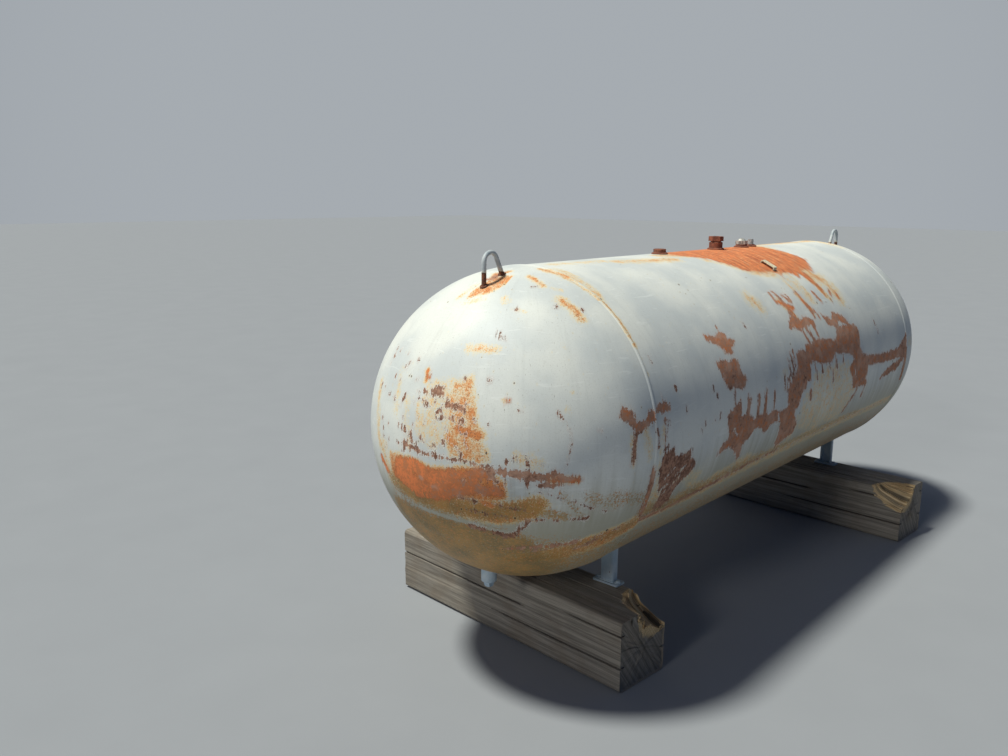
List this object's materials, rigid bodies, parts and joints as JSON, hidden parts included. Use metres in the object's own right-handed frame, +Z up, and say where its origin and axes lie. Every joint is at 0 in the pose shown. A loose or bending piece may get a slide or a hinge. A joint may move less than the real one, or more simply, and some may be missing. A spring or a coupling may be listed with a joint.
{
  "type": "horizontal pressure tank",
  "caption": "Horizontal welded steel pressure tank with round heads, lifting lugs, short channel legs and top couplings, standing on old timber sleepers.",
  "frame": {"origin": "on the ground, under the middle of the tank; this is the middle of the bounding box's underside", "axes": "+X along the tank towards the far head, +Y across it to the left when looking along +X, +Z up"},
  "size_m": [3, 1.2428, 1.298],
  "materials": {
    "tank_paint": "old chalked white paint with rust patches and streaks",
    "weld_paint": "painted weld beads, rusty in places",
    "leg_paint": "pale blue-grey paint, lightly weathered",
    "lug_paint": "white paint over bar and strip, rust at the feet",
    "rusted_steel": "bare steel, red rust all over",
    "galvanised_steel": "dull galvanised",
    "sleeper_wood": "weathered grey, split and splintered"
  },
  "bodies": {
    "root": {"shell": "tank_paint", "head_near": "tank_paint", "head_far": "tank_paint", "girth_weld_near": "weld_paint", "girth_weld_far": "weld_paint", "long_seam_weld": "weld_paint", "leg_near_left": "leg_paint", "leg_near_right": "leg_paint", "leg_far_left": "leg_paint", "leg_far_right": "leg_paint", "foot_plate_near_left": "leg_paint", "foot_plate_near_right": "leg_paint", "foot_plate_far_left": "leg_paint", "foot_plate_far_right": "leg_paint", "lifting_lug_near": "lug_paint", "lifting_lug_far": "lug_paint", "riser_coupling": "rusted_steel", "riser_weld": "rusted_steel", "vent_coupling": "rusted_steel", "vent_weld": "rusted_steel", "vent_bushing": "rusted_steel", "filler_coupling": "rusted_steel", "filler_weld": "rusted_steel", "filler_cap": "galvanised_steel", "gauge_coupling": "rusted_steel", "gauge_weld": "rusted_steel", "gauge_plug": "galvanised_steel", "drain_coupling": "leg_paint", "drain_plug": "leg_paint", "plate_bracket": "lug_paint", "timber_near": "sleeper_wood", "timber_far": "sleeper_wood"}
  },
  "joints": []
}
